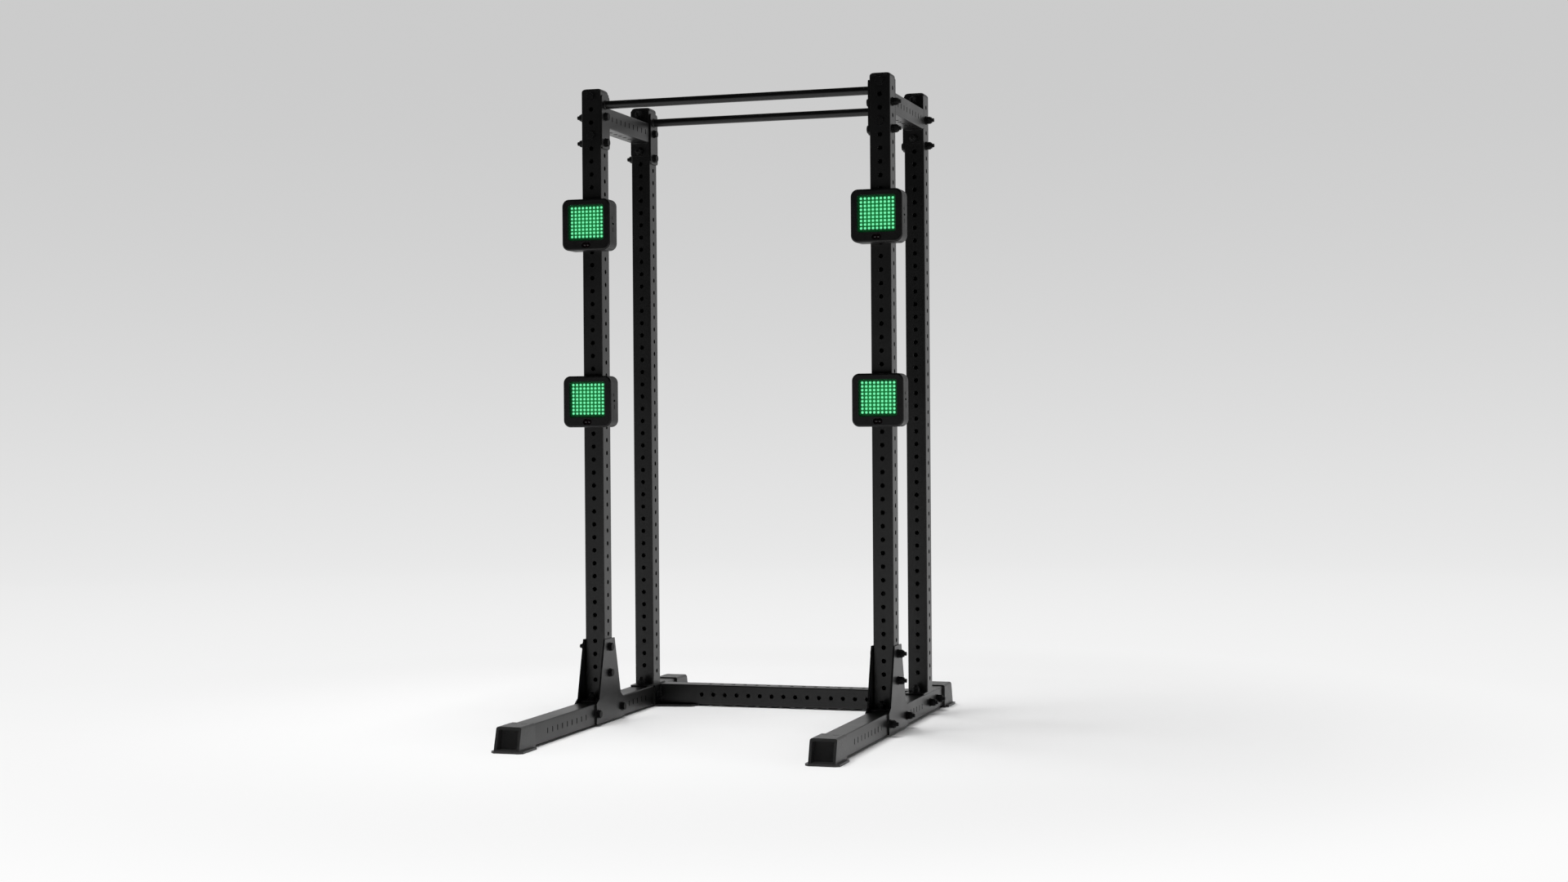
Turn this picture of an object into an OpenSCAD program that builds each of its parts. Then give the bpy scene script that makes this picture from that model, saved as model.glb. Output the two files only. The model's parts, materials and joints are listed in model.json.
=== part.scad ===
// Power cage of perforated square tube with four battery light pods on its front uprights.
// Millimetres. +Z is up, -Y is the front, +X is the right. The origin is on the floor, under
// the middle of the whole footprint.

/* [Frame] */
// Distance between left and right upright centres
cage_w = 1168.4; // [1000:0.1:1300]
// Distance between front and rear upright centres
cage_d = 537; // [480:0.5:620]
// Length of the upright tubes
upright_len = 2379; // [2280:1:2420]
// Distance from the front upright centres to the front tip of the boots
front_reach = 881.5; // [820:0.5:960]
// Distance from the rear upright centres to the rear tip of the boots
rear_reach = 368.5; // [330:0.5:420]
// Rear crossmember centre behind the rear upright centres
rear_cross_offset = 63.5; // [62:0.5:66]

/* [Tube] */
// Outer width of every square tube
tube_w = 80; // [78:0.1:82]
// Wall thickness of every tube
tube_wall = 3; // [2.5:0.5:4]
// Outer corner radius of every tube
tube_r = 4; // [3.5:0.5:6]
// Distance between neighbouring holes
hole_pitch = 50.8; // [50:0.1:51]
// Diameter of the accessory and bolt holes
hole_d = 17.8; // [16.6:0.1:18.4]
// Distance from the top of an upright to its first hole
top_hole_drop = 17; // [14:0.5:20]
// Thickness of flanges, end plates and gusset plates
plate_t = 6.35; // [5:0.05:8]

/* [Pull-up bars] */
// Diameter of the pull-up bars
bar_d = 32; // [26:0.5:36]
// Height of the bar centre below the first side hole
bar_drop = 5; // [0:0.5:8]

/* [Boots] */
// Outer width of a boot
boot_w = 98; // [92:0.5:104]
// Length of a boot from its tip to its mouth
boot_len = 148; // [130:1:170]
// Thickness of the sole under the base tube
sole_t = 8; // [6:0.5:12]
// Width of the sole with its side flanges
sole_w = 124; // [112:1:130]
// How far the boot's front leans back from bottom to top
boot_lean = 28; // [15:1:35]

/* [Light pods] */
// Width and height of a pod
pod_w = 200; // [190:1:208]
// Corner radius of a pod in front view
pod_r = 28; // [24:1:32]
// Depth of a pod in front of the upright's face
pod_front = 64; // [62:1:70]
// Depth of the cheeks that saddle the upright
pod_saddle = 16; // [12:1:20]
// Height of the upper right pod's centre
pod_upper_z = 1943; // [1800:1:2040]
// Height of the lower right pod's centre
pod_lower_z = 1254; // [1000:1:1400]
// How much higher the left pods sit than the right pods
left_pod_rise = 6.5; // [-10:0.5:10]
// Width of the window opening
window_w = 147; // [135:1:150]
// Height of the window opening
window_h = 138; // [130:1:140]

/* [Fasteners] */
// Bolt shank diameter
bolt_d = 15.9; // [14:0.1:16]
// Width of bolt heads and nuts across flats
hex_af = 27; // [24:0.5:28]
// Washer outer diameter
washer_d = 34; // [33:0.5:36]

/* [Hidden] */
$fn = 48;

// Sides, rows and heights used as arguments
LEFT = -1;
RIGHT = 1;
FRONT = -1;
REAR = 1;
INNER = -1;
OUTER = 1;

// Frame positions
half_depth = (front_reach + cage_d + rear_reach) / 2;
front_y = front_reach - half_depth;
rear_y = front_y + cage_d;
cross_y = rear_y + rear_cross_offset;
base_mid_z = sole_t + tube_w / 2;
base_top = sole_t + tube_w;
upright_z = base_top + plate_t;
upright_top = upright_z + upright_len;
half_tube = tube_w / 2;

// Holes: the side faces start half a pitch lower than the front and rear faces
front_hole_top = upright_top - top_hole_drop;
side_hole_top = front_hole_top - hole_pitch / 2;
hole_count = floor((side_hole_top - upright_z - hole_pitch / 2) / hole_pitch);
function front_hole_z(k) = front_hole_top - k * hole_pitch;
function side_hole_z(k) = side_hole_top - k * hole_pitch;

// Bolted joints
foot_bolt_y = 76.2;
foot_flange_len = 203.2;
gusset_bolt_y = 127;
cross_bolt_y = 63.5;
cross_z = side_hole_z(1);
top_flange_h = 190.5;
grip = tube_w + plate_t;
gusset_grip = tube_w + 2 * plate_t;
head_h = 10;
low_head_h = 5;
washer_t = 2.8;
nut_h = 16;
collar_h = 5;
bolt_tail = 9;

// Gusset outline: half widths and heights
gusset_top_half = 51;
gusset_top_z = side_hole_z(hole_count - 3) + 32;
gusset_knee_half = 112;
gusset_knee_z = base_top + 17;
gusset_base_half = 140;

// Boot
boot_h = base_top + 4.5;
boot_rim = 10;
socket_clear = 0.15;
socket_start = 60;
recess_depth = 30;

// Pod depths, measured from its front plane
pod_gap = 0.3;
shell_t = 3.5;
seam_y = 14;
lens_y = 7;
lens_t = 3;
board_y = 16;
board_t = 1.6;
control_y = 30.5;
floor_y = pod_front - 5;
side_y = 36;
window_rise = 8.4;
sensor_drop = 78.6;
button_z = 25;
port_z = 2.5;
vent_z = -21;
button_r = 6;

coat = [0.06, 0.06, 0.065];
zinc = [0.12, 0.12, 0.13];
moulded = [0.09, 0.09, 0.09];

// ---- shared shapes ----

module rounded_rect(w, h, r) {
    square([w - 2 * r, h], center = true);
    square([w, h - 2 * r], center = true);
    for (x = [-1, 1], y = [-1, 1])
        translate([x * (w / 2 - r), y * (h / 2 - r)]) circle(r);
}

module obround(length, width) {
    square([length - width, width], center = true);
    for (x = [-1, 1]) translate([x * (length - width) / 2, 0]) circle(width / 2);
}

// Square tube along +Z from the origin
module tube(length) {
    difference() {
        linear_extrude(length) rounded_rect(tube_w, tube_w, tube_r);
        translate([0, 0, -1]) linear_extrude(length + 2)
            rounded_rect(tube_w - 2 * tube_wall, tube_w - 2 * tube_wall, tube_r - tube_wall / 2);
    }
}

module along_x() { rotate([0, 90, 0]) children(); }
module along_y() { rotate([-90, 0, 0]) children(); }

// Round hole through both walls of a tube that is centred on the origin
module cross_hole() { cylinder(h = tube_w + 10, d = hole_d, center = true); }

// ---- frame ----

module upright(side, row) {
    y = row == FRONT ? front_y : rear_y;
    color(coat) translate([side * cage_w / 2, y, 0]) difference() {
        union() {
            translate([0, 0, upright_z]) tube(upright_len);
            translate([0, 0, base_top]) linear_extrude(plate_t)
                rounded_rect(tube_w, foot_flange_len, 6);
        }
        for (k = [0 : hole_count]) {
            translate([0, 0, front_hole_z(k)]) along_y() cross_hole();
            translate([0, 0, side_hole_z(k)]) along_x() cross_hole();
        }
        for (s = [-1, 1]) translate([0, s * foot_bolt_y, base_top]) cross_hole();
    }
}

cap_h = 14;
cap_r = 12;
plug_h = 4;

module cap_profile() {
    intersection() {
        translate([-half_tube, 0]) square([tube_w, cap_h]);
        union() {
            translate([-half_tube + cap_r, 0]) square([tube_w - 2 * cap_r, cap_h]);
            translate([-half_tube, 0]) square([tube_w, cap_h - cap_r]);
            for (s = [-1, 1]) translate([s * (half_tube - cap_r), cap_h - cap_r]) circle(cap_r);
        }
    }
}

module upright_cap(side, row) {
    y = row == FRONT ? front_y : rear_y;
    plug_w = tube_w - 2 * tube_wall - 0.4;
    color(moulded) translate([side * cage_w / 2, y, upright_top]) {
        intersection() {
            rotate([90, 0, 0]) linear_extrude(tube_w, center = true) cap_profile();
            rotate([90, 0, 90]) linear_extrude(tube_w, center = true) cap_profile();
            linear_extrude(cap_h) rounded_rect(tube_w, tube_w, tube_r);
        }
        translate([0, 0, -plug_h]) difference() {
            linear_extrude(plug_h + 0.5) rounded_rect(plug_w, plug_w, tube_r - tube_wall / 2);
            translate([0, 0, -1]) linear_extrude(plug_h + 1)
                rounded_rect(plug_w - 6, plug_w - 6, 2);
        }
    }
}

// Rows of plain vertical slots in the side walls of the base tubes and top crossmembers
slot_pitch = 46;
slot_len = 22;
slot_w = 7;

module slot_row(centre_y, count) {
    for (i = [0 : count - 1])
        translate([0, centre_y + (i - (count - 1) / 2) * slot_pitch, 0])
            rotate([0, 90, 0]) linear_extrude(tube_w + 10, center = true) obround(slot_len, slot_w);
}

front_slots_y = front_y - 417.5;
mid_slots_y = front_y + 310;

module base_tube(side) {
    start = -half_depth + socket_start;
    length = 2 * half_depth - 2 * socket_start;
    color(coat) translate([side * cage_w / 2, 0, base_mid_z]) difference() {
        translate([0, start, 0]) along_y() tube(length);
        for (y = [front_y, rear_y], s = [-1, 1])
            translate([0, y + s * foot_bolt_y, 0]) cross_hole();
        for (s = [-1, 1]) {
            translate([0, front_y + s * gusset_bolt_y, 0]) along_x() cross_hole();
            translate([0, cross_y + s * cross_bolt_y, 0]) along_x() cross_hole();
        }
        slot_row(front_slots_y, 9);
        slot_row(mid_slots_y, 5);
    }
}

// Boot with its tip at y = 0 and its mouth towards +Y, standing on z = 0
module boot_shape() {
    lean = boot_lean / boot_h;
    recess_top = boot_h - boot_rim;
    difference() {
        union() {
            intersection() {
                rotate([90, 0, 90]) linear_extrude(boot_w, center = true)
                    polygon([[0, 0], [boot_len, 0], [boot_len, boot_h], [boot_lean, boot_h]]);
                translate([0, boot_len, boot_h / 2 - 10]) rotate([90, 0, 0])
                    linear_extrude(boot_len) rounded_rect(boot_w, boot_h + 20, 6);
            }
            linear_extrude(sole_t) polygon([
                [-boot_w / 2, 0], [boot_w / 2, 0], [sole_w / 2, 12], [sole_w / 2, boot_len - 18],
                [-sole_w / 2, boot_len - 18], [-sole_w / 2, 12]
            ]);
        }
        // socket for the base tube
        translate([-half_tube - socket_clear, socket_start, sole_t - socket_clear])
            cube([tube_w + 2 * socket_clear, boot_len, tube_w + 2 * socket_clear]);
        // hollow front
        rotate([90, 0, 90]) linear_extrude(boot_w - 2 * boot_rim, center = true) polygon([
            [-1, boot_rim], [recess_depth + lean * boot_rim - 3, boot_rim],
            [recess_depth + lean * recess_top - 3, recess_top], [-1, recess_top]
        ]);
        // two shallow marks across the top
        for (s = [-1, 1]) translate([s * 20, boot_len - 33, boot_h - 2])
            linear_extrude(3) square([26, 5], center = true);
    }
}

module boot(side, row) {
    color(moulded) translate([side * cage_w / 2, row * half_depth, 0])
        mirror([0, row == REAR ? 1 : 0, 0]) boot_shape();
}

module top_crossmember(side) {
    span = cage_d - tube_w;
    length = span - 2 * plate_t;
    holes = floor((length / 2 - hole_d) / hole_pitch);
    mid_y = (front_y + rear_y) / 2;
    color(coat) translate([side * cage_w / 2, mid_y, cross_z]) difference() {
        union() {
            translate([0, -length / 2 - 1, 0]) along_y() tube(length + 2);
            for (s = [-1, 1]) translate([0, s * (span - plate_t) / 2, 0]) rotate([90, 0, 0])
                linear_extrude(plate_t, center = true) rounded_rect(tube_w, top_flange_h, 8);
        }
        for (k = [-holes : holes]) translate([0, k * hole_pitch, 0]) cross_hole();
        for (s = [-1, 1]) translate([0, 0, s * 1.5 * hole_pitch])
            along_y() cylinder(h = span + 10, d = hole_d, center = true);
        slot_row(0, 9);
    }
}

foot_plate_t = 5;

module rear_crossmember() {
    span = cage_w - tube_w;
    length = span - 2 * plate_t;
    holes = floor((length / 2 - 170) / hole_pitch);
    color(coat) translate([0, cross_y, base_mid_z]) difference() {
        union() {
            translate([-length / 2 - 1, 0, 0]) along_x() tube(length + 2);
            for (s = [-1, 1]) translate([s * (span - plate_t) / 2, 0, 0]) rotate([90, 0, 90])
                linear_extrude(plate_t, center = true)
                    rounded_rect(foot_flange_len, tube_w, 6);
            for (s = [0, 1]) mirror([s, 0, 0])
                translate([-span / 2, 0, -half_tube - foot_plate_t])
                    linear_extrude(foot_plate_t + 0.5) polygon([
                        [0, -foot_flange_len / 2], [155, -74], [170, -half_tube],
                        [170, half_tube], [155, 74], [0, foot_flange_len / 2]
                    ]);
        }
        for (k = [-holes : holes])
            translate([k * hole_pitch, 0, 0]) along_y() cross_hole();
        for (k = [-holes : holes - 1])
            translate([(k + 0.5) * hole_pitch, 0, 0]) cross_hole();
        for (s = [-1, 1]) translate([0, s * cross_bolt_y, 0])
            along_x() cylinder(h = span + 10, d = hole_d, center = true);
    }
}

module pullup_bar(row) {
    y = row == FRONT ? front_y : rear_y;
    span = cage_w - tube_w;
    plate_top = side_hole_z(1) + 82;
    plate_bottom = side_hole_z(3) - hole_pitch / 2;
    bar_z = side_hole_z(0) - bar_drop;
    color(coat) translate([0, y, 0]) difference() {
        union() {
            translate([-span / 2 + 1, 0, bar_z]) along_x() cylinder(h = span - 2, d = bar_d);
            for (s = [-1, 1])
                translate([s * (span - plate_t) / 2, 0, (plate_top + plate_bottom) / 2])
                    rotate([90, 0, 90]) linear_extrude(plate_t, center = true)
                        rounded_rect(tube_w, plate_top - plate_bottom, 13);
        }
        translate([-span / 2 + plate_t, 0, bar_z]) along_x()
            cylinder(h = span - 2 * plate_t, d = bar_d - 6);
        for (k = [1, 3]) translate([0, 0, side_hole_z(k)])
            along_x() cylinder(h = span + 10, d = hole_d, center = true);
    }
}

module gusset(side, face) {
    x = side * cage_w / 2 + side * face * (half_tube + plate_t / 2);
    color(coat) translate([x, front_y, 0]) rotate([90, 0, 90]) difference() {
        linear_extrude(plate_t, center = true) polygon([
            [-gusset_base_half, sole_t], [gusset_base_half, sole_t],
            [gusset_base_half, base_top], [gusset_knee_half, gusset_knee_z],
            [gusset_top_half, gusset_top_z], [-gusset_top_half, gusset_top_z],
            [-gusset_knee_half, gusset_knee_z], [-gusset_base_half, base_top]
        ]);
        for (k = [hole_count - 3, hole_count - 1])
            translate([0, side_hole_z(k), 0]) cylinder(h = 2 * plate_t, d = hole_d, center = true);
        for (s = [-1, 1]) translate([s * gusset_bolt_y, base_mid_z, 0])
            cylinder(h = 2 * plate_t, d = hole_d, center = true);
    }
}

// ---- fasteners: each lies along +Z with the clamped stack from z = 0 to z = grip ----

module hex_bolt(stack) {
    translate([0, 0, -washer_t - head_h])
        cylinder(h = head_h, d = hex_af / cos(30), $fn = 6);
    translate([0, 0, -washer_t - 1]) cylinder(h = 1 + shank_len(stack), d = bolt_d);
}

function shank_len(stack) = stack + 2 * washer_t + nut_h + collar_h + bolt_tail;

module low_bolt(stack) {
    translate([0, 0, -low_head_h]) cylinder(h = low_head_h, d = 28);
    translate([0, 0, -1])
        cylinder(h = 1 + stack + washer_t + nut_h + collar_h + bolt_tail, d = bolt_d);
}

module lock_nut(stack) {
    translate([0, 0, stack + washer_t]) difference() {
        union() {
            cylinder(h = nut_h, d = hex_af / cos(30), $fn = 6);
            translate([0, 0, nut_h - 1]) cylinder(h = collar_h + 1, d = hex_af - 2.5);
        }
        translate([0, 0, -1]) cylinder(h = nut_h + collar_h + 2, d = bolt_d + 0.1);
    }
}

module washer_pair(stack) {
    for (z = [-washer_t, stack]) translate([0, 0, z]) one_washer();
}

module one_washer() {
    difference() {
        cylinder(h = washer_t, d = washer_d);
        translate([0, 0, -1]) cylinder(h = washer_t + 2, d = hole_d);
    }
}

// Sideways bolts through a plate on the inside and then the tube, heads inside
module frame_bolt_places() {
    inside = cage_w / 2 - half_tube - plate_t;
    mid_y = (front_y + rear_y) / 2;
    for (s = [-1, 1]) {
        for (y = [front_y, rear_y], k = [1, 3])
            translate([s * inside, y, side_hole_z(k)]) rotate([0, s * 90, 0]) children();
        for (e = [-1, 1])
            translate([s * inside, cross_y + e * cross_bolt_y, base_mid_z])
                rotate([0, s * 90, 0]) children();
        for (row = [-1, 1], k = [0, 3])
            translate([s * cage_w / 2, mid_y + row * (cage_d + tube_w) / 2, front_hole_z(k)])
                rotate([row * 90, 0, 0]) children();
    }
}

module gusset_bolt_places() {
    inside = cage_w / 2 - half_tube - plate_t;
    for (s = [-1, 1]) {
        for (k = [hole_count - 3, hole_count - 1])
            translate([s * inside, front_y, side_hole_z(k)]) rotate([0, s * 90, 0]) children();
        for (e = [-1, 1])
            translate([s * inside, front_y + e * gusset_bolt_y, base_mid_z])
                rotate([0, s * 90, 0]) children();
    }
}

module foot_bolt_places() {
    for (s = [-1, 1], y = [front_y, rear_y], e = [-1, 1])
        translate([s * cage_w / 2, y + e * foot_bolt_y, sole_t]) children();
}

module frame_bolts() { color(zinc) frame_bolt_places() hex_bolt(grip); }
module gusset_bolts() { color(zinc) gusset_bolt_places() hex_bolt(gusset_grip); }
module foot_bolts() { color(zinc) foot_bolt_places() low_bolt(grip); }

module lock_nuts() {
    color(zinc) {
        frame_bolt_places() lock_nut(grip);
        gusset_bolt_places() lock_nut(gusset_grip);
        foot_bolt_places() lock_nut(grip);
    }
}

module washers() {
    color(zinc) {
        frame_bolt_places() washer_pair(grip);
        gusset_bolt_places() washer_pair(gusset_grip);
        foot_bolt_places() translate([0, 0, grip]) one_washer();
    }
}

// ---- light pods: y is the depth behind the pod's front plane ----

module pod_place(side, centre_z) {
    rise = side == LEFT ? left_pod_rise : 0;
    translate([side * cage_w / 2, front_y - half_tube - pod_gap - pod_front, centre_z + rise])
        children();
}

// Outline in front view, solid from depth a to depth b
module slab(a, b) {
    translate([0, b, 0]) rotate([90, 0, 0]) linear_extrude(b - a) children();
}

module window_outline(grow) {
    translate([0, window_rise])
        rounded_rect(window_w + 2 * grow, window_h + 2 * grow, 10 + grow);
}

module sensor_opening() {
    translate([0, -sensor_drop]) for (s = [-1, 1]) translate([s * 7, 0]) circle(11.5);
}

module pod_housing(side, centre_z) {
    inner = pod_w - 2 * shell_t;
    channel = tube_w + 2 * pod_gap;
    pocket_w = (inner - channel) / 2 - shell_t;
    color(moulded) pod_place(side, centre_z) difference() {
        union() {
            difference() {
                slab(seam_y, pod_front + pod_saddle) rounded_rect(pod_w, pod_w, pod_r);
                slab(seam_y - 1, floor_y) rounded_rect(inner, inner, pod_r - shell_t);
                for (s = [-1, 1]) translate([s * (inner - pocket_w) / 2, 0, 0])
                    slab(floor_y - 1, pod_front + pod_saddle - shell_t)
                        rounded_rect(pocket_w, inner - 2 * pod_r, 6);
            }
            for (x = [-1, 1], z = [-1, 1]) translate([x * 76, 0, z * 72])
                slab(board_y + board_t, floor_y + 1) circle(4);
        }
        translate([-channel / 2, pod_front, -pod_w])
            cube([channel, pod_saddle + 1, 2 * pod_w]);
        for (x = [-1, 1], z = [-1, 1]) translate([x * 24, 0, z * 60])
            slab(pod_front - 3, pod_front + 1) circle(10.05);
        // push button, charging port and sounder slot in the right wall
        translate([pod_w / 2, side_y, button_z]) along_x()
            cylinder(h = 20, r = button_r + 0.3, center = true);
        translate([pod_w / 2, side_y, port_z]) along_x() rotate([0, 0, 90])
            linear_extrude(20, center = true) obround(22, 7);
        translate([pod_w / 2, side_y, vent_z]) along_x()
            linear_extrude(20, center = true) obround(18, 5);
    }
}

module pod_bezel(side, centre_z) {
    inner = pod_w - 2 * shell_t;
    color(moulded) pod_place(side, centre_z) difference() {
        slab(0, seam_y) rounded_rect(pod_w, pod_w, pod_r);
        difference() {
            slab(shell_t, seam_y + 1) rounded_rect(inner, inner, pod_r - shell_t);
            slab(shell_t - 1, lens_y) window_outline(2.5);
        }
        slab(-1, seam_y) window_outline(0);
        slab(-1, seam_y) sensor_opening();
    }
}

module pod_window(side, centre_z) {
    color([0.5, 0.9, 0.7, 0.4]) pod_place(side, centre_z)
        slab(lens_y, lens_y + lens_t) window_outline(3);
}

module pod_led_board(side, centre_z) {
    color([0.02, 0.25, 0.12]) pod_place(side, centre_z) {
        slab(board_y, board_y + board_t) rounded_rect(pod_w - 15, pod_w - 13, 20);
        translate([0, 0, -sensor_drop]) slab(5, board_y + 0.5) rounded_rect(34, 22, 3);
    }
}

module pod_control_board(side, centre_z) {
    right_edge = pod_w / 2 - shell_t - 4;
    color([0.05, 0.2, 0.1]) pod_place(side, centre_z) {
        translate([-30, control_y, -45]) cube([right_edge + 30, board_t, 90]);
        // switch behind the button
        translate([right_edge - 8, control_y + 1, button_z - 4]) cube([8, side_y - control_y, 8]);
        // charging port behind its slot
        translate([right_edge - 12, side_y - 4.5, port_z - 2.8]) cube([15, 11, 5.6]);
    }
}

module pod_battery(side, centre_z) {
    color([0.15, 0.25, 0.55]) pod_place(side, centre_z) translate([-45, 0, 0])
        slab(floor_y - 18, floor_y) rounded_rect(56, 110, 5);
}

module pod_magnets(side, centre_z) {
    color("silver") pod_place(side, centre_z)
        for (x = [-1, 1], z = [-1, 1]) translate([x * 24, 0, z * 60])
            slab(pod_front - 3, pod_front) circle(10);
}

module pod_button(side, centre_z) {
    wall_in = pod_w / 2 - shell_t;
    color([0.2, 0.2, 0.2]) pod_place(side, centre_z) translate([0, side_y, button_z]) along_x() {
        translate([0, 0, wall_in - 1.5]) cylinder(h = shell_t + 2.7, r = button_r);
        translate([0, 0, wall_in - 2]) cylinder(h = 1.7, r = button_r + 2);
    }
}

upright(LEFT, FRONT);  // upright_front_left
upright(RIGHT, FRONT);  // upright_front_right
upright(LEFT, REAR);  // upright_rear_left
upright(RIGHT, REAR);  // upright_rear_right
upright_cap(LEFT, FRONT);  // cap_front_left
upright_cap(RIGHT, FRONT);  // cap_front_right
upright_cap(LEFT, REAR);  // cap_rear_left
upright_cap(RIGHT, REAR);  // cap_rear_right
base_tube(LEFT);  // base_tube_left
base_tube(RIGHT);  // base_tube_right
boot(LEFT, FRONT);  // boot_front_left
boot(RIGHT, FRONT);  // boot_front_right
boot(LEFT, REAR);  // boot_rear_left
boot(RIGHT, REAR);  // boot_rear_right
top_crossmember(LEFT);  // top_crossmember_left
top_crossmember(RIGHT);  // top_crossmember_right
rear_crossmember();
pullup_bar(FRONT);  // pullup_bar_front
pullup_bar(REAR);  // pullup_bar_rear
gusset(LEFT, INNER);  // gusset_left_inner
gusset(LEFT, OUTER);  // gusset_left_outer
gusset(RIGHT, INNER);  // gusset_right_inner
gusset(RIGHT, OUTER);  // gusset_right_outer
frame_bolts();
gusset_bolts();
foot_bolts();
lock_nuts();
washers();
pod_housing(LEFT, pod_upper_z);  // pod_left_upper_housing
pod_bezel(LEFT, pod_upper_z);  // pod_left_upper_bezel
pod_window(LEFT, pod_upper_z);  // pod_left_upper_window
pod_led_board(LEFT, pod_upper_z);  // pod_left_upper_led_board
pod_control_board(LEFT, pod_upper_z);  // pod_left_upper_control_board
pod_battery(LEFT, pod_upper_z);  // pod_left_upper_battery
pod_magnets(LEFT, pod_upper_z);  // pod_left_upper_magnets
pod_button(LEFT, pod_upper_z);  // pod_left_upper_button
pod_housing(RIGHT, pod_upper_z);  // pod_right_upper_housing
pod_bezel(RIGHT, pod_upper_z);  // pod_right_upper_bezel
pod_window(RIGHT, pod_upper_z);  // pod_right_upper_window
pod_led_board(RIGHT, pod_upper_z);  // pod_right_upper_led_board
pod_control_board(RIGHT, pod_upper_z);  // pod_right_upper_control_board
pod_battery(RIGHT, pod_upper_z);  // pod_right_upper_battery
pod_magnets(RIGHT, pod_upper_z);  // pod_right_upper_magnets
pod_button(RIGHT, pod_upper_z);  // pod_right_upper_button
pod_housing(LEFT, pod_lower_z);  // pod_left_lower_housing
pod_bezel(LEFT, pod_lower_z);  // pod_left_lower_bezel
pod_window(LEFT, pod_lower_z);  // pod_left_lower_window
pod_led_board(LEFT, pod_lower_z);  // pod_left_lower_led_board
pod_control_board(LEFT, pod_lower_z);  // pod_left_lower_control_board
pod_battery(LEFT, pod_lower_z);  // pod_left_lower_battery
pod_magnets(LEFT, pod_lower_z);  // pod_left_lower_magnets
pod_button(LEFT, pod_lower_z);  // pod_left_lower_button
pod_housing(RIGHT, pod_lower_z);  // pod_right_lower_housing
pod_bezel(RIGHT, pod_lower_z);  // pod_right_lower_bezel
pod_window(RIGHT, pod_lower_z);  // pod_right_lower_window
pod_led_board(RIGHT, pod_lower_z);  // pod_right_lower_led_board
pod_control_board(RIGHT, pod_lower_z);  // pod_right_lower_control_board
pod_battery(RIGHT, pod_lower_z);  // pod_right_lower_battery
pod_magnets(RIGHT, pod_lower_z);  // pod_right_lower_magnets
pod_button(RIGHT, pod_lower_z);  // pod_right_lower_button
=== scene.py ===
"""The looks of a power cage of perforated square tube with four battery light pods.

Metres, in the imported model's frame: +Z up, -Y the front, +X the right, origin on the floor.
Tubes, plates and the pods' insides are the CAD nodes with materials of their own. Pods, boots,
caps, fasteners and weld beads are detailed pieces, placed from the boxes of the CAD nodes.
"""

import json
import math

import bmesh
import bpy
from mathutils import Matrix, Vector

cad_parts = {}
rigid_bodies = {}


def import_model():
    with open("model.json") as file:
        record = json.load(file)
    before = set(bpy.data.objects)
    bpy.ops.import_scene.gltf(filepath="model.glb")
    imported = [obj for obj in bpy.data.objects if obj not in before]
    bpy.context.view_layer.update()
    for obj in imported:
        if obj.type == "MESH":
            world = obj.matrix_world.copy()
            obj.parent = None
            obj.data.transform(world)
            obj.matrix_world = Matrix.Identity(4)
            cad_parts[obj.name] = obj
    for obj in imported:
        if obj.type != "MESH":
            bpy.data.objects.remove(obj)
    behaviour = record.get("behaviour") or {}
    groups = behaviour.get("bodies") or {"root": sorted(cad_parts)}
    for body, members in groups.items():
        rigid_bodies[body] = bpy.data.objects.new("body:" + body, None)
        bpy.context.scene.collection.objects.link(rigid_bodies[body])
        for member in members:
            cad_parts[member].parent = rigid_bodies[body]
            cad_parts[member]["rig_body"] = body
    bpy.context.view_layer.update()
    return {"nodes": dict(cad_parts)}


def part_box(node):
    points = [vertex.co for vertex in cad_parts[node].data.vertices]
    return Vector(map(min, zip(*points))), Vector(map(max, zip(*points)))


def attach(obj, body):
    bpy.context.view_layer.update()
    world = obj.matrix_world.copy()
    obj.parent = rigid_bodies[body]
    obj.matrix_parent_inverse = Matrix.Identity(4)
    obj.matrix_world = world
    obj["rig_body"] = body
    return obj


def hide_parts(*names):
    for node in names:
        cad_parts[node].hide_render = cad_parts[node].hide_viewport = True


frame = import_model()

MM = 0.001
ROOT = "root_frame"
PODS = ["pod_left_upper", "pod_right_upper", "pod_left_lower", "pod_right_lower"]
UPRIGHTS = ["front_left", "front_right", "rear_left", "rear_right"]


def box_size(node):
    low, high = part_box(node)
    return high - low


def box_centre(node):
    low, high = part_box(node)
    return (low + high) / 2


# Sizes read from the CAD nodes
TUBE_W = box_size("base_tube_left").x
PLATE_T = box_size("gusset_left_inner").x
POD_W = box_size("pod_left_upper_bezel").z
# The tubes' wall
TUBE_WALL = 3 * MM
# The pull-up bars: BAR_DROP is from the top of an end plate down to the bar's axis
BAR_R = 16 * MM
BAR_DROP = 36.2 * MM


# ---- materials ----


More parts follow.
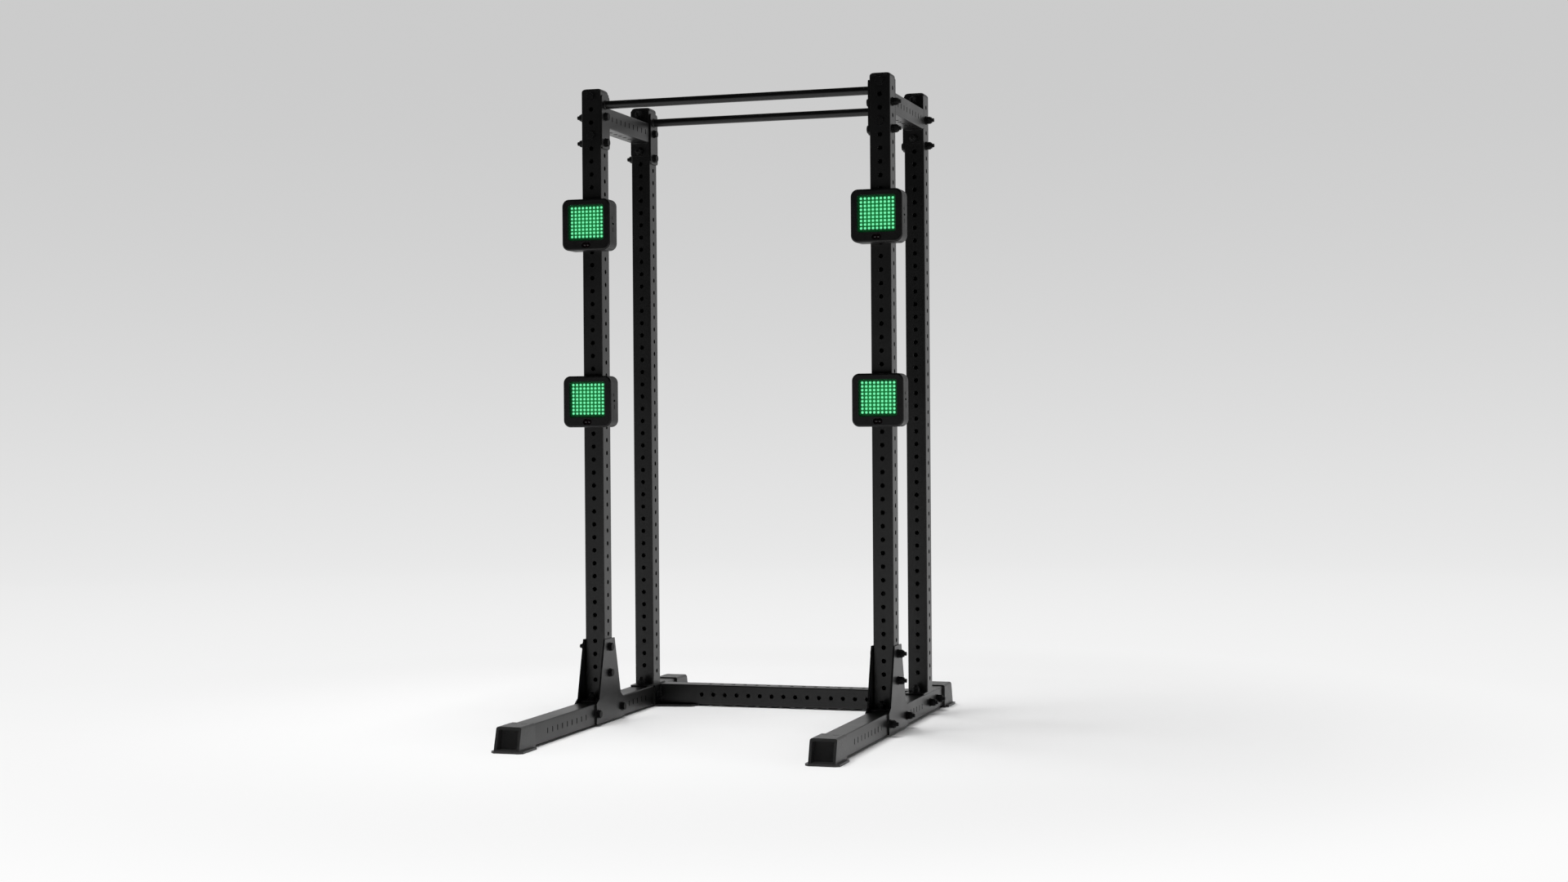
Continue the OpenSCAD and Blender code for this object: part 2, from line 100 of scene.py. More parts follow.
class Surface:
    """A Principled material, with short calls for the nodes that feed it."""

    def __init__(self, name, metallic=0.0, specular=0.5, coat=0.0):
        self.material = bpy.data.materials.new(name)
        self.material.use_nodes = True
        self.nodes = self.material.node_tree.nodes
        self.links = self.material.node_tree.links
        self.shader = self.nodes["Principled BSDF"]
        self.shader.inputs["Metallic"].default_value = metallic
        self.shader.inputs["Specular IOR Level"].default_value = specular
        self.shader.inputs["Coat Weight"].default_value = coat
        self.place = self.nodes.new("ShaderNodeTexCoord").outputs["Object"]

    def feed(self, socket, value):
        """Links a socket to another's output, or sets its plain value."""
        if isinstance(value, bpy.types.NodeSocket):
            self.links.new(value, socket)
        elif isinstance(value, tuple):
            socket.default_value = value + (1.0,) * (len(socket.default_value) - len(value))
        else:
            socket.default_value = value

    def add(self, kind, settings=None, **inputs):
        """A new node. Inputs are named as Blender names them, with _ for a space."""
        made = self.nodes.new("ShaderNode" + kind)
        for key, value in (settings or {}).items():
            setattr(made, key, value)
        for key, value in inputs.items():
            self.feed(made.inputs[key.replace("_", " ")], value)
        return made

    def noise(self, scale, detail=3.0, distortion=0.0):
        """Noise from 0 to 1; its cells are about 1 / scale metres."""
        return self.add(
            "TexNoise", Vector=self.place, Scale=scale, Detail=detail, Distortion=distortion
        ).outputs["Fac"]

    def spread(self, source, low, high, start=0.3, end=0.7):
        """source from start..end becomes low..high."""
        made = self.add("MapRange", Value=source)
        for key, value in zip(("From Min", "From Max", "To Min", "To Max"), (start, end, low, high)):
            made.inputs[key].default_value = value
        return made.outputs["Result"]

    def blend(self, factor, a, b):
        """Colour a where factor is 0, colour b where it is 1."""
        made = self.add("Mix", {"data_type": "RGBA"})
        self.feed(made.inputs[0], factor)
        self.feed(made.inputs[6], a)
        self.feed(made.inputs[7], b)
        return made.outputs[2]

    def edges(self, width):
        """1 on outer edges and corners, 0 on flats, from the rounded normal's turn."""
        rounded = self.add("Bevel", {"samples": 4}, Radius=width).outputs["Normal"]
        true_normal = self.add("NewGeometry").outputs["Normal"]
        turn = self.add("VectorMath", {"operation": "DOT_PRODUCT"})
        self.feed(turn.inputs[0], rounded)
        self.feed(turn.inputs[1], true_normal)
        return self.spread(turn.outputs["Value"], 1.0, 0.0, start=0.8, end=0.97)

    def color(self, value):
        self.feed(self.shader.inputs["Base Color"], value)

    def roughness(self, value):
        self.feed(self.shader.inputs["Roughness"], value)

    def relief(self, height, depth, strength):
        bump = self.add("Bump", Height=height, Distance=depth, Strength=strength)
        self.feed(self.shader.inputs["Normal"], bump.outputs["Normal"])


def grey(level, warmth=0.0):
    """A linear grey; warmth moves it from blue towards red."""
    return (level * (1 + warmth), level, level * (1 - warmth))


def make_powder_coat():
    """Satin black with a little orange peel, paler where it is thin on the edges."""
    s = Surface("powder_coat_black", specular=0.5)
    drift = s.noise(5, detail=5)
    peel = s.noise(430, detail=2)
    paint = s.blend(s.spread(drift, 0, 1), grey(0.0012), grey(0.0022))
    s.color(s.blend(s.edges(1.2 * MM), paint, grey(0.008)))
    s.roughness(s.spread(drift, 0.32, 0.39))
    s.relief(peel, 0.02 * MM, 0.4)
    return s.material


def make_moulded(name, level, roughness, grain=900, specular=0.45):
    """Black moulded plastic or rubber with a fine spark-eroded grain."""
    s = Surface(name, specular=specular)
    cloud = s.noise(28, detail=6)
    fine = s.noise(grain, detail=2)
    s.color(s.blend(s.spread(cloud, 0, 1), grey(level * 0.8), grey(level * 1.25)))
    s.roughness(s.spread(cloud, roughness - 0.05, roughness + 0.05))
    s.relief(fine, 0.03 * MM, 0.6)
    return s.material


def make_boot_rubber():
    """Grained black rubber with dusty scuffs."""
    s = Surface("boot_rubber_black", specular=0.42)
    scuff = s.noise(95, detail=8, distortion=1.2)
    cloud = s.noise(14, detail=5)
    dust = s.spread(scuff, 0, 1, start=0.58, end=0.78)
    base = s.blend(s.spread(cloud, 0, 1), grey(0.026), grey(0.036))
    s.color(s.blend(dust, base, grey(0.05, 0.04)))
    s.roughness(s.spread(scuff, 0.34, 0.46))
    s.relief(s.noise(1100, detail=3), 0.04 * MM, 0.6)
    return s.material


def make_black_zinc():
    """Hazy black plating, rubbed bright on the edges."""
    s = Surface("black_zinc_steel", metallic=0.3, specular=0.14)
    haze = s.noise(160, detail=5, distortion=0.6)
    tint = s.blend(s.spread(haze, 0, 1), (0.004, 0.0042, 0.0048), (0.009, 0.0088, 0.0084))
    s.color(s.blend(s.edges(0.5 * MM), tint, grey(0.05)))
    s.roughness(s.spread(haze, 0.4, 0.58))
    s.relief(s.noise(1500, detail=2), 0.05 * MM, 0.5)
    return s.material


def make_window():
    """Smoked clear plastic: almost all light passes straight through, the rest is gloss."""
    s = Surface("pod_window_smoked", specular=0.3)
    haze = s.noise(60, detail=3)
    s.color(s.blend(s.spread(haze, 0, 1), (0.004, 0.012, 0.008), (0.006, 0.018, 0.012)))
    s.roughness(s.spread(haze, 0.04, 0.1))
    s.shader.inputs["Alpha"].default_value = 0.13
    return s.material


def make_board(name, low, high):
    """Solder mask over a fine grid of traces."""
    s = Surface(name, specular=0.5)
    traces = s.add("TexBrick", Vector=s.place, Scale=160.0, Mortar_Size=0.03)
    s.color(s.blend(traces.outputs["Fac"], low, high))
    s.roughness(s.spread(s.noise(300), 0.32, 0.42))
    s.relief(traces.outputs["Fac"], 0.05 * MM, 0.5)
    return s.material


def make_battery():
    """Crinkled blue shrink wrap."""
    s = Surface("battery_wrap", specular=0.5)
    crinkle = s.noise(70, detail=4, distortion=1.5)
    s.color(s.blend(s.spread(crinkle, 0, 1), (0.03, 0.07, 0.2), (0.05, 0.1, 0.28)))
    s.roughness(s.spread(crinkle, 0.25, 0.4))
    s.relief(crinkle, 0.3 * MM, 0.5)
    return s.material


def make_magnet():
    """Bright nickel plate."""
    s = Surface("nickel_plate", metallic=1.0)
    haze = s.noise(240, detail=4)
    s.color(s.blend(s.spread(haze, 0, 1), grey(0.5, 0.03), grey(0.62, 0.03)))
    s.roughness(s.spread(haze, 0.18, 0.3))
    s.relief(haze, 0.03 * MM, 0.4)
    return s.material


def make_glow(name, dim, bright, roughness):
    """Plastic that glows: the lamps themselves, or the lamps' light painted on the board behind them. The
    mesh's glow attribute runs from 0, dim, to 1, bright, and the base colour is painted lighter where it
    glows.
    """
    s = Surface(name, specular=0.4)
    glow = s.add("Attribute", {"attribute_name": "glow"}).outputs["Fac"]
    speckle = s.noise(700, detail=2)
    s.color(s.blend(glow, (0.0, 0.02, 0.008), (0.02, 0.1, 0.05)))
    s.feed(s.shader.inputs["Emission Color"], s.blend(glow, dim, bright))
    s.shader.inputs["Emission Strength"].default_value = 1.0
    s.roughness(s.spread(speckle, roughness - 0.05, roughness + 0.05))
    s.relief(speckle, 0.05 * MM, 0.4)
    return s.material


def make_lens():
    """Near-black infrared filter plastic, polished."""
    s = Surface("sensor_lens_dark", specular=0.6, coat=0.5)
    depth = s.noise(500, detail=1)
    s.color(s.blend(s.spread(depth, 0, 1), (0.003, 0.001, 0.002), (0.008, 0.002, 0.003)))
    s.roughness(s.spread(depth, 0.05, 0.12))
    s.relief(depth, 0.01 * MM, 0.3)
    return s.material


MATERIALS = {
    "powder_coat": make_powder_coat(),
    "black_zinc": make_black_zinc(),
    "cap_plastic": make_moulded("cap_plastic_black", 0.003, 0.45),
    "boot_rubber": make_boot_rubber(),
    "pod_shell": make_moulded("pod_shell_black", 0.004, 0.46, grain=1100, specular=0.3),
    "pod_front": make_moulded("pod_front_black", 0.001, 0.42, grain=1100, specular=0.35),
    "pod_window": make_window(),
    "led_board": make_board("led_board_mask", (0.002, 0.012, 0.006), (0.006, 0.05, 0.025)),
    "circuit_board": make_board("circuit_board_mask", (0.004, 0.05, 0.02), (0.01, 0.12, 0.05)),
    "battery": make_battery(),
    "magnet": make_magnet(),
    "pod_button": make_moulded("pod_button_rubber", 0.02, 0.55),
}
NYLON = make_moulded("nut_insert_nylon", 0.03, 0.5)
LED_GLOW = make_glow("led_dome_lit", (0.02, 0.5, 0.17), (0.28, 1.28, 0.62), 0.3)
# The board's glow is painted light: the lamps' spill on it, as an emission that fades out from the middle
PANEL_PAINTED_GLOW = make_glow("led_panel_painted_glow", (0.0, 0.004, 0.001), (0.0, 0.19, 0.03), 0.5)
LENS = make_lens()


# ---- mesh tools ----


def rounded_rect(width, height, radius, steps=8, centre=(0.0, 0.0)):
    """Points of a rounded rectangle, anticlockwise from the right side's lower end."""
    points = []
    for corner in range(4):
        sx, sy = ((1, 1), (-1, 1), (-1, -1), (1, -1))[corner]
        for i in range(steps + 1):
            a = math.pi / 2 * (corner + i / steps)
            x = sx * (width / 2 - radius) + radius * math.cos(a)
            y = sy * (height / 2 - radius) + radius * math.sin(a)
            points.append((centre[0] + x, centre[1] + y))
    return points


def circle(radius, count=32, centre=(0.0, 0.0)):
    turns = [2 * math.pi * i / count for i in range(count)]
    return [(centre[0] + radius * math.cos(a), centre[1] + radius * math.sin(a)) for a in turns]


def facing_y(outline, y):
    """An outline seen from the front, (x, z), at depth y."""
    return [Vector((x, y, z)) for x, z in outline]


def facing_x(outline, x):
    """An outline seen from the right, (y, z), at distance x."""
    return [Vector((x, y, z)) for y, z in outline]


def facing_z(outline, z):
    """An outline seen from above, (x, y), at height z."""
    return [Vector((x, y, z)) for x, y in outline]


def skin(bm, rings, closed=False):
    """Quads from ring to ring. The ends are capped, or closed joins the last ring to the first."""
    loops = [[bm.verts.new(p) for p in ring] for ring in rings]
    pairs = list(zip(loops, loops[1:]))
    if closed:
        pairs.append((loops[-1], loops[0]))
    count = len(loops[0])
    bands = []
    for a, b in pairs:
        band = [
            bm.faces.new((a[i], a[(i + 1) % count], b[(i + 1) % count], b[i]))
            for i in range(count)
        ]
        bands.append(band)
    if not closed:
        bands.append([bm.faces.new(list(reversed(loops[0]))), bm.faces.new(loops[-1])])
    return bands


def mesh_of(bm, name):
    bmesh.ops.recalc_face_normals(bm, faces=bm.faces)
    mesh = bpy.data.meshes.new(name)
    bm.to_mesh(mesh)
    bm.free()
    return mesh


def solid(name, *ring_sets):
    """A mesh of one or more closed lofts."""
    bm = bmesh.new()
    for rings in ring_sets:
        skin(bm, rings)
    return mesh_of(bm, name)


def combine(mesh, others, operation):
    """mesh with each of the others cut from it or added to it."""
    target = bpy.data.objects.new("combine", mesh)
    bpy.context.scene.collection.objects.link(target)
    tools = []
    for other in others:
        tool = bpy.data.objects.new("combine_tool", other)
        bpy.context.scene.collection.objects.link(tool)
        tools.append(tool)
        modifier = target.modifiers.new("combine", "BOOLEAN")
        modifier.operation = operation
        modifier.solver = "EXACT"
        modifier.object = tool
    bpy.context.view_layer.update()
    evaluated = target.evaluated_get(bpy.context.evaluated_depsgraph_get())
    made = bpy.data.meshes.new_from_object(evaluated)
    for o in [target, *tools]:
        used = o.data
        bpy.data.objects.remove(o)
        bpy.data.meshes.remove(used)
    return made


def cut(mesh, *others):
    return combine(mesh, others, "DIFFERENCE")


def join(mesh, *others):
    return combine(mesh, others, "UNION")


def piece(name, mesh, body, slot, stands_for=(), at=None, materials=None, soften=0.0):
    """A shown piece: its object, materials, rounded edges, and what the frame is told."""
    obj = bpy.data.objects.new(name, mesh)
    bpy.context.scene.collection.objects.link(obj)
    obj.matrix_world = at or Matrix.Identity(4)
    if not mesh.materials:
        for material in materials or [MATERIALS[slot]]:
            mesh.materials.append(material)
    mesh.polygons.foreach_set("use_smooth", [True] * len(mesh.polygons))
    if soften:
        bevel = obj.modifiers.new("soft_edges", "BEVEL")
        bevel.width = soften
        bevel.segments = 3
        bevel.limit_method = "ANGLE"
        bevel.angle_limit = math.radians(40)
        obj.modifiers.new("even_shading", "WEIGHTED_NORMAL")
    else:
        mesh.set_sharp_from_angle(angle=math.radians(38))
    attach(obj, body)
    if stands_for:
        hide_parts(*stands_for)
    return obj


# ---- CAD nodes that keep their meshes ----


def dress(node, slot):
    """Gives a CAD node the material of its slot."""
    mesh = frame["nodes"][node].data
    mesh.materials.clear()
    mesh.materials.append(MATERIALS[slot])


def dress_frame():
    names = [f"upright_{u}" for u in UPRIGHTS]
    for side in ("left", "right"):
        names += [f"base_tube_{side}", f"top_crossmember_{side}"]
        names += [f"gusset_{side}_inner", f"gusset_{side}_outer"]
    names += ["rear_crossmember", "pullup_bar_front", "pullup_bar_rear"]
    for name in names:
        dress(name, "powder_coat")


def dress_pod_insides():
    slots = {
        "window": "pod_window",
        "led_board": "led_board",
        "control_board": "circuit_board",
        "battery": "battery",
        "magnets": "magnet",
    }
    for pod in PODS:
        for part, slot in slots.items():
            dress(f"{pod}_{part}", slot)


# ---- light pods, in a frame with x across, y the depth behind the front plane, z up ----

# Depths: the clear window, the lit panel, the seam between bezel and housing, the holes in
# the side, the housing's floor, the channel that saddles the upright, and the back
WINDOW_Y = 7 * MM
PANEL_Y = 12.5 * MM
SEAM_Y = 14 * MM
SIDE_Y = 36 * MM
POD_FLOOR_Y = 59 * MM
CHANNEL_Y = 64 * MM
POD_BACK_Y = 80 * MM
# Outline and walls
POD_R = 28 * MM
SHELL_T = 3.5 * MM
FRONT_FILLET = 7 * MM
BACK_FILLET = 6 * MM
CHANNEL_GAP = 0.3 * MM
POCKET_R = 6 * MM
# The window's opening, its centre above the pod's, and the rim behind it
WINDOW_W = 147 * MM
WINDOW_H = 138 * MM
WINDOW_R = 10 * MM
WINDOW_RISE = 8.4 * MM
RIM_W = 2.5 * MM
# The sensor's two lobes, below the pod's centre
SENSOR_DROP = 78.6 * MM
SENSOR_SPREAD = 7 * MM
LOBE_R = 11.5 * MM
SENSOR_Y = 5 * MM
SENSOR_MASK = (38 * MM, 25 * MM)
# Magnets in the channel's floor
MAGNET_R = 10.05 * MM
MAGNET_X = 24 * MM
MAGNET_Z = 60 * MM
# In the right side: button, charging port and sounder slot, each at its height above the
# centre, and the slots' sizes in depth and height
BUTTON_Z = 25 * MM
BUTTON_R = 6 * MM
BUTTON_GAP = 0.3 * MM
PORT_Z = 2.5 * MM
PORT_SIZE = (22 * MM, 7 * MM)
VENT_Z = -21 * MM
VENT_SIZE = (5 * MM, 18 * MM)


def pod_ring(y, inset=0.0):
    """The pod's rounded square outline at depth y."""
    size = POD_W - 2 * inset
    return facing_y(rounded_rect(size, size, POD_R - inset, steps=12), y)


def window_ring(y, grow=0.0):
    """The window's outline at depth y."""
    width, height = WINDOW_W + 2 * grow, WINDOW_H + 2 * grow
    return facing_y(rounded_rect(width, height, WINDOW_R + grow, centre=(0, WINDOW_RISE)), y)


def fillet(radius, steps=6):
    """(back from the tip, inset) pairs of a quarter round, from its side to its face."""
    turns = [math.pi / 2 * i / steps for i in range(steps + 1)]
    return [(radius * (1 - math.sin(a)), radius * (1 - math.cos(a))) for a in turns]


def bezel_mesh():
    """The front shell, open for the window and the sensor's lobes."""
    front = [pod_ring(back, inset) for back, inset in fillet(FRONT_FILLET)]
    shell = solid("bezel", [pod_ring(SEAM_Y), *front])
    hollow = solid("hollow", [pod_ring(y, SHELL_T) for y in (SHELL_T, SEAM_Y + MM)])
    rim = solid("rim", [window_ring(y, RIM_W) for y in (SHELL_T - MM, WINDOW_Y)])
    flare, pinch = 1.5 * MM, -0.2 * MM
    window = solid("window", [window_ring(-MM, flare), window_ring(WINDOW_Y + MM, pinch)])
    lobes = [
        solid("lobe", [facing_y(circle(LOBE_R, 40, (s * SENSOR_SPREAD, -SENSOR_DROP)), y)
                       for y in (-MM, SEAM_Y)])
        for s in (-1, 1)
    ]
    return cut(shell, cut(hollow, rim), window, *lobes)


def slot_outline(size, centre):
    """A slot with round ends, just short of half circles so that no two points meet."""
    width, height = size
    return rounded_rect(width, height, min(size) / 2 - 0.01 * MM, centre=centre)


def housing_mesh():
    """The rear shell: a channel for the upright between two hollow cheeks."""
    back = [pod_ring(POD_BACK_Y - b, inset) for b, inset in fillet(BACK_FILLET)]
    shell = solid("housing", [pod_ring(SEAM_Y), *back])
    hollow = solid("hollow", [pod_ring(y, SHELL_T) for y in (SEAM_Y - MM, POD_FLOOR_Y)])
    half_channel = TUBE_W / 2 + CHANNEL_GAP
    channel_outline = rounded_rect(2 * half_channel, 2 * POD_W, 0.5 * MM, steps=1)
    channel = solid("channel", [facing_y(channel_outline, y) for y in (CHANNEL_Y, POD_BACK_Y + MM)])
    inner = POD_W / 2 - SHELL_T
    pocket_w = inner - half_channel - SHELL_T
    pockets = [
        solid("pocket", [
            facing_y(rounded_rect(pocket_w, 2 * (inner - POD_R), POCKET_R,
                                  centre=(s * (inner - pocket_w / 2), 0)), y)
            for y in (POD_FLOOR_Y - MM, POD_BACK_Y - SHELL_T)
        ])
        for s in (-1, 1)
    ]
    recesses = [
        solid("recess", [facing_y(circle(MAGNET_R, 40, (sx * MAGNET_X, sz * MAGNET_Z)), y)
                         for y in (CHANNEL_Y - 3 * MM, CHANNEL_Y + MM)])
        for sx in (-1, 1) for sz in (-1, 1)
    ]
    through_wall = (POD_W / 2 - 10 * MM, POD_W / 2 + 10 * MM)
    side_cuts = [
        solid("side_cut", [facing_x(outline, x) for x in through_wall])
        for outline in (
            circle(BUTTON_R + BUTTON_GAP, 40, (SIDE_Y, BUTTON_Z)),
            slot_outline(PORT_SIZE, (SIDE_Y, PORT_Z)),
            slot_outline(VENT_SIZE, (SIDE_Y, VENT_Z)),
        )
    ]
    return cut(shell, hollow, channel, *pockets, *recesses, *side_cuts)


# The lamps: a square grid of LED_COUNT each way, its centre above the pod's
LED_COUNT = 9
LED_PITCH_X = 15.4 * MM
LED_PITCH_Z = 13.9 * MM
LED_RISE = 9.7 * MM
LED_R = 5.2 * MM
LED_H = 2.4 * MM
LED_FOOT_Y = PANEL_Y + 0.1 * MM
# The panel behind them, larger than the window, and how its glow fades past the grid: the lamps' light on
# the board, painted as a glow of its own
PANEL_MARGIN = 6 * MM
PANEL_T = 2 * MM
PANEL_CELLS = 28
CORNER_FADE = 0.72
GLOW_END = 1.32
GLOW_FADE = 0.55
GLOW_CURVE = 1.3


def set_glow(mesh, glow_at):
    """Writes the glow attribute from a function of a point."""
    glow = mesh.attributes.new("glow", "FLOAT", "POINT")
    glow.data.foreach_set("value", [glow_at(v.co) for v in mesh.vertices])


def led_domes_mesh():
    """A grid of domed lamps standing on the lit panel."""
    bm = bmesh.new()
    steps = 4
    profile = [(LED_R * math.cos(math.pi / 2 * i / steps), LED_H * math.sin(math.pi / 2 * i / steps))
               for i in range(steps)]
    middle = (LED_COUNT - 1) / 2
    for col in range(LED_COUNT):
        for row in range(LED_COUNT):
            at = ((col - middle) * LED_PITCH_X, (row - middle) * LED_PITCH_Z + LED_RISE)
            skin(bm, [facing_y(circle(r, 20, at), LED_FOOT_Y - h) for r, h in profile])
    mesh = mesh_of(bm, "led_domes")
    set_glow(mesh, lambda p: min(1.0, max(0.0, (LED_FOOT_Y - p.y) / LED_H * 1.15)))
    return mesh


def led_panel_mesh():
    """The board behind the lamps, with the lamps' light painted on it as its own glow: brightest in the
    middle, dark towards the window's edge.
    """
    half_w, half_h = WINDOW_W / 2 + PANEL_MARGIN, WINDOW_H / 2 + PANEL_MARGIN
    bm = bmesh.new()
    steps = [2 * i / PANEL_CELLS - 1 for i in range(PANEL_CELLS + 1)]
    grid = [[bm.verts.new((half_w * u, PANEL_Y, half_h * v + WINDOW_RISE)) for v in steps] for u in steps]
    for i in range(PANEL_CELLS):
        for j in range(PANEL_CELLS):
            bm.faces.new((grid[i][j], grid[i + 1][j], grid[i + 1][j + 1], grid[i][j + 1]))
    extruded = bmesh.ops.extrude_face_region(bm, geom=bm.faces[:])
    for item in extruded["geom"]:
        if isinstance(item, bmesh.types.BMVert):
            item.co.y += PANEL_T
    mesh = mesh_of(bm, "led_panel")

    def glow_at(p):
        """How brightly the panel glows at p; far is 1 at the outermost lamps' centres."""
        across = abs(p.x) / (LED_PITCH_X * (LED_COUNT - 1) / 2)
        up = abs(p.z - LED_RISE) / (LED_PITCH_Z * (LED_COUNT - 1) / 2)
        far = max(across, up, CORNER_FADE * math.hypot(across, up))
        return max(0.0, min(1.0, (GLOW_END - far) / GLOW_FADE)) ** GLOW_CURVE

    set_glow(mesh, glow_at)
    return mesh


def sensor_mesh():
    """Two domed lenses in collars on a black mask, behind the two-lobed opening."""
    bm = bmesh.new()
    mask = rounded_rect(*SENSOR_MASK, 3 * MM, centre=(0, -SENSOR_DROP))
    skin(bm, [facing_y(mask, SENSOR_Y + d * MM) for d in (0.4, -0.2)])
    # (radius, depth) in mm: the collar's wall and rim, then the lens
    profile = [(5.2, 0.3), (5.2, -1.4), (4.9, -1.7), (4.3, -1.7), (4.0, -1.2), (3.6, -2.0),
               (2.6, -2.7), (1.2, -3.1)]
    for s in (-1, 1):
        at = (s * SENSOR_SPREAD, -SENSOR_DROP)
        skin(bm, [facing_y(circle(r * MM, 28, at), SENSOR_Y + d * MM) for r, d in profile])
    return mesh_of(bm, "sensor_lenses")


def button_mesh():
    """A push button with a flange inside the side wall and a softly dished face outside it."""
    outside = POD_W / 2
    inside = outside - SHELL_T
    profile = [
        (BUTTON_R + 2 * MM, inside - 2 * MM), (BUTTON_R + 2 * MM, inside - 0.3 * MM),
        (BUTTON_R, inside - 0.3 * MM), (BUTTON_R, outside + 0.5 * MM),
        (BUTTON_R - 0.25 * MM, outside + 1 * MM), (BUTTON_R - 0.8 * MM, outside + 1.2 * MM),
        (BUTTON_R - 1.6 * MM, outside + 1.05 * MM), (BUTTON_R * 0.35, outside + 0.75 * MM),
    ]
    return solid("button", [facing_x(circle(r, 32, (SIDE_Y, BUTTON_Z)), x) for r, x in profile])


def build_pods():
    """Every pod has the same meshes, placed by its own bezel's box."""
    shared = {
        "housing": housing_mesh(),
        "bezel": bezel_mesh(),
        "button": button_mesh(),
        "led_domes": led_domes_mesh(),
        "led_panel": led_panel_mesh(),
        "sensor_lenses": sensor_mesh(),
    }
    slots = {"housing": "pod_shell", "bezel": "pod_front", "button": "pod_button"}
    glows = {"led_domes": LED_GLOW, "led_panel": PANEL_PAINTED_GLOW, "sensor_lenses": LENS}
    for pod in PODS:
        centre = box_centre(f"{pod}_bezel")
        at = Matrix.Translation((centre.x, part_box(f"{pod}_bezel")[0].y, centre.z))
        for part, slot in slots.items():
            body = frame["nodes"][f"{pod}_{part}"]["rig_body"]
            piece(f"{pod}_{part}_detailed", shared[part], body, slot, [f"{pod}_{part}"], at,
                  soften=0.0 if part == "button" else 0.45 * MM)
        for part, material in glows.items():
            piece(f"{pod}_{part}", shared[part], pod, "led_board", at=at, materials=[material])


# ---- boots and caps ----

BOOT_W = 98 * MM
BOOT_LEN = 148 * MM
BOOT_R = 9 * MM
# How far the slanted front leans back, and the recess in it: rim and depth
BOOT_LEAN = 28 * MM
BOOT_RIM = 10 * MM
RECESS_DEPTH = 27 * MM
# The sole is wider than the boot and stops short of its mouth
SOLE_W = 124 * MM
SOLE_T = 8 * MM
SOLE_SHORT = 18 * MM
SOLE_CHAMFER = 12 * MM
# Where the socket for the base tube starts, from the tip, and how much wider it is
SOCKET_START = 60 * MM
SOCKET_GAP = 0.3 * MM
# Two shallow marks in the top
MARK_SIZE = (26 * MM, 5 * MM)
MARK_X = 20 * MM
MARK_SHORT = 33 * MM
MARK_DEPTH = 2 * MM


def boot_mesh(height):
    """A boot with its tip at y 0 and its mouth towards +Y, standing on z 0."""
    lean = BOOT_LEAN / height
    # Round corners above and square ones on the floor: a taller outline, flattened at z 0
    tall = height + 20 * MM
    outline = [
        (x, max(z, 0.0))
        for x, z in rounded_rect(BOOT_W, tall, BOOT_R, steps=6, centre=(0, height - tall / 2))
    ]
    outline = list(dict.fromkeys((round(x, 6), round(z, 6)) for x, z in outline))
    front = [Vector((x, z * lean, z)) for x, z in outline]
    body = solid("boot", [front, facing_y(outline, BOOT_LEN)])
    half, half_sole = BOOT_W / 2, SOLE_W / 2
    sole_end = BOOT_LEN - SOLE_SHORT
    sole_outline = [(-half, 0), (half, 0), (half_sole, SOLE_CHAMFER), (half_sole, sole_end),
                    (-half_sole, sole_end), (-half_sole, SOLE_CHAMFER)]
    sole = solid("sole", [facing_z(sole_outline, z) for z in (0, SOLE_T)])

    socket_w = TUBE_W + SOCKET_GAP
    socket_outline = rounded_rect(socket_w, socket_w, 3 * MM, centre=(0, SOLE_T + TUBE_W / 2))
    socket = solid("socket", [facing_y(socket_outline, y) for y in (SOCKET_START, BOOT_LEN + MM)])

    recess_w = BOOT_W - 2 * BOOT_RIM
    recess_h = height - 2 * BOOT_RIM

    def recess_ring(draft, depth):
        flat = rounded_rect(recess_w - 2 * draft, recess_h - 2 * draft, 4 * MM, centre=(0, height / 2))
        return [Vector((x, z * lean + depth, z)) for x, z in flat]

    recess = solid("recess", [
        recess_ring(-0.3 * MM, -3 * MM),
        recess_ring(2.5 * MM, RECESS_DEPTH - 2 * MM),
        recess_ring(4 * MM, RECESS_DEPTH),
    ])
    marks = []
    for s in (-1, 1):
        mark = rounded_rect(*MARK_SIZE, 2 * MM, centre=(s * MARK_X, BOOT_LEN - MARK_SHORT))
        marks.append(solid("mark", [facing_z(mark, height + d) for d in (-MARK_DEPTH, MARK_DEPTH)]))
    return cut(join(body, sole), socket, recess, *marks)


def build_boots():
    mesh = boot_mesh(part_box("boot_front_left")[1].z)
    for name in UPRIGHTS:
        low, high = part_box(f"boot_{name}")
        front = name.startswith("front")
        at = Matrix.Translation(((low.x + high.x) / 2, low.y if front else high.y, 0))
        if not front:
            at = at @ Matrix.Rotation(math.pi, 4, "Z")
        piece(f"boot_{name}_moulded", mesh, ROOT, "boot_rubber", [f"boot_{name}"], at,
              soften=1.1 * MM)


CAP_LIP = 1.3 * MM
CAP_R = 4.5 * MM
PLUG_GAP = 0.2 * MM


def cap_mesh(plug_depth, top):
    """A push-in end cap with a crowned top, its lip at z 0."""
    crown = top - CAP_LIP
    rings = [facing_z(rounded_rect(TUBE_W - 1.0 * MM, TUBE_W - 1.0 * MM, 4 * MM), 0)]
    rings.append(facing_z(rounded_rect(TUBE_W, TUBE_W, CAP_R), 0.5 * MM))
    steps = 8
    for i in range(steps + 1):
        a = math.pi / 2 * i / steps
        size = TUBE_W - 2 * crown * (1 - math.cos(a))
        radius = CAP_R + 4 * MM * i / steps
        rings.append(facing_z(rounded_rect(size, size, radius), CAP_LIP + crown * math.sin(a)))
    plug_w = TUBE_W - 2 * (TUBE_WALL + PLUG_GAP)
    plug = [facing_z(rounded_rect(plug_w - taper, plug_w - taper, 2 * MM), z)
            for taper, z in ((1 * MM, -plug_depth), (0, -plug_depth + 1 * MM), (0, 0.2 * MM))]
    return solid("cap", rings, plug)


